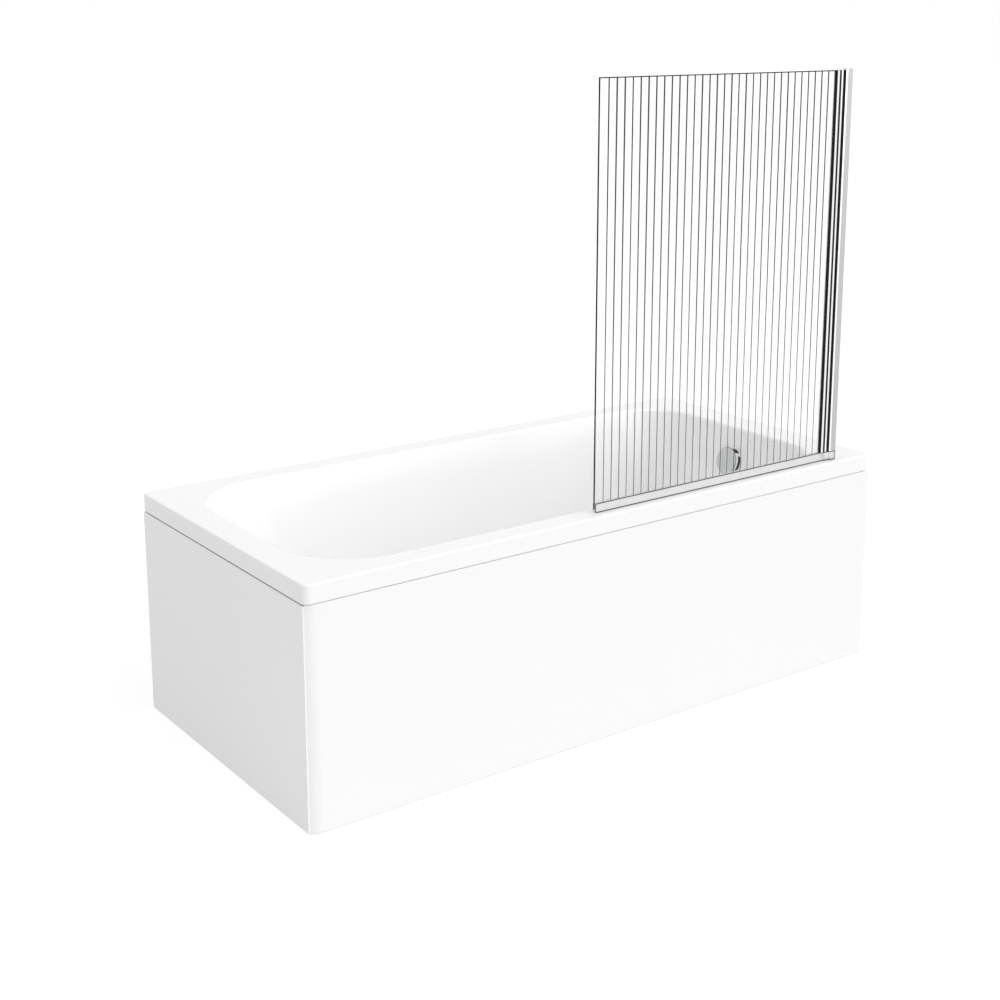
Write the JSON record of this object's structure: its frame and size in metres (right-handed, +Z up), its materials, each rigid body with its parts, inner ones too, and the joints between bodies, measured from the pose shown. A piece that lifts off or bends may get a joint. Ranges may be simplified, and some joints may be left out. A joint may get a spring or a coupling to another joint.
{
  "type": "straight bath",
  "caption": "White straight bath with front and end panels, a pivoting fluted glass screen over the foot end, chrome overflow and waste, and adjustable cradle legs underneath.",
  "frame": {"origin": "on the floor under the middle of the bath", "axes": "+X along the bath to the waste and screen end, -Y out of the panelled front, +Z up"},
  "size_m": [1.7, 0.8, 1.56],
  "materials": {
    "acrylic": "gloss white",
    "panel_acrylic": "gloss white",
    "board": "chipboard",
    "timber": "sawn softwood",
    "zinc_steel": "zinc plated",
    "cradle_plastic": "moulded, off-white",
    "foot_plastic": "moulded, black",
    "rubber_black": "matt black",
    "chrome": "polished chrome",
    "satin_aluminium": "bright satin",
    "pipe_plastic": "white polypropylene",
    "nylon": "natural nylon",
    "fluted_glass": "toughened, fluted on the outer face",
    "clear_plastic": "clear soft PVC"
  },
  "bodies": {
    "bath": {"bath_shell": "acrylic", "base_board": "board", "rim_batten_front": "timber", "rim_batten_back": "timber", "rim_batten_left": "timber", "rim_batten_right": "timber", "front_panel": "panel_acrylic", "end_panel": "panel_acrylic", "corner_post": "timber", "floor_batten_front": "timber", "floor_batten_end": "timber", "panel_clips": "zinc_steel", "clip_screws": "zinc_steel", "cradle_left": "cradle_plastic", "cradle_right": "cradle_plastic", "cradle_screws": "zinc_steel", "leg_posts": "cradle_plastic", "waste_washer": "rubber_black", "waste_flange": "chrome", "waste_gasket": "rubber_black", "waste_body": "pipe_plastic", "plug_cartridge": "pipe_plastic", "overflow_cover": "chrome", "overflow_faceplate": "pipe_plastic", "overflow_screw": "zinc_steel", "overflow_gasket": "rubber_black", "overflow_body": "pipe_plastic", "overflow_pipe": "pipe_plastic", "wall_profile": "satin_aluminium", "inner_post": "satin_aluminium", "profile_screws": "zinc_steel", "vertical_seal": "rubber_black", "pivot_block": "clear_plastic", "pivot_cap": "satin_aluminium", "hinge_pin_lower": "zinc_steel", "hinge_pin_upper": "zinc_steel"},
    "screen": {"glass_pane": "fluted_glass", "pivot_profile": "chrome", "glazing_gasket_outer": "rubber_black", "glazing_gasket_inner": "rubber_black", "profile_inserts": "rubber_black", "bottom_seal": "clear_plastic", "hinge_bush_lower": "nylon", "hinge_bush_upper": "nylon"},
    "plug": {"waste_plug": "chrome", "plug_seal": "rubber_black"},
    "pad_left_front": {"foot_pad_left_front": "rubber_black"},
    "foot_left_front": {"foot_left_front": "foot_plastic"},
    "pad_left_back": {"foot_pad_left_back": "rubber_black"},
    "foot_left_back": {"foot_left_back": "foot_plastic"},
    "pad_right_front": {"foot_pad_right_front": "rubber_black"},
    "foot_right_front": {"foot_right_front": "foot_plastic"},
    "pad_right_back": {"foot_pad_right_back": "rubber_black"},
    "foot_right_back": {"foot_right_back": "foot_plastic"}
  },
  "joints": [
    {"name": "screen_pivot", "type": "hinge", "parent": "bath", "child": "screen", "pos_m": [0.7007, -0.37, 1.07], "axis": [0, 0, 1], "range_deg": [-60, 90]},
    {"name": "plug_press", "type": "slide", "parent": "bath", "child": "plug", "axis": [0, 0, 1], "range_m": [-0.008, 0], "stiffness_N_per_m": 1500, "springref_m": 0.002},
    {"name": "foot_lift_left_front", "type": "slide", "parent": "bath", "child": "pad_left_front", "axis": [0, 0, 1], "range_m": [-0.016, 0.008]},
    {"name": "foot_turn_left_front", "type": "hinge", "parent": "pad_left_front", "child": "foot_left_front", "pos_m": [-0.348, -0.236, 0.05], "axis": [0, 0, 1], "range_deg": [-1440, 720]},
    {"name": "foot_lift_left_back", "type": "slide", "parent": "bath", "child": "pad_left_back", "axis": [0, 0, 1], "range_m": [-0.016, 0.008]},
    {"name": "foot_turn_left_back", "type": "hinge", "parent": "pad_left_back", "child": "foot_left_back", "pos_m": [-0.348, 0.236, 0.05], "axis": [0, 0, 1], "range_deg": [-1440, 720]},
    {"name": "foot_lift_right_front", "type": "slide", "parent": "bath", "child": "pad_right_front", "axis": [0, 0, 1], "range_m": [-0.016, 0.008]},
    {"name": "foot_turn_right_front", "type": "hinge", "parent": "pad_right_front", "child": "foot_right_front", "pos_m": [0.389, -0.236, 0.05], "axis": [0, 0, 1], "range_deg": [-1440, 720]},
    {"name": "foot_lift_right_back", "type": "slide", "parent": "bath", "child": "pad_right_back", "axis": [0, 0, 1], "range_m": [-0.016, 0.008]},
    {"name": "foot_turn_right_back", "type": "hinge", "parent": "pad_right_back", "child": "foot_right_back", "pos_m": [0.389, 0.236, 0.05], "axis": [0, 0, 1], "range_deg": [-1440, 720]}
  ],
  "couplings": [
    {"joint": "foot_turn_left_front", "follows": "foot_lift_left_front", "rad_per_m": 1570.8},
    {"joint": "foot_turn_left_back", "follows": "foot_lift_left_back", "rad_per_m": 1570.8},
    {"joint": "foot_turn_right_front", "follows": "foot_lift_right_front", "rad_per_m": 1570.8},
    {"joint": "foot_turn_right_back", "follows": "foot_lift_right_back", "rad_per_m": 1570.8}
  ]
}
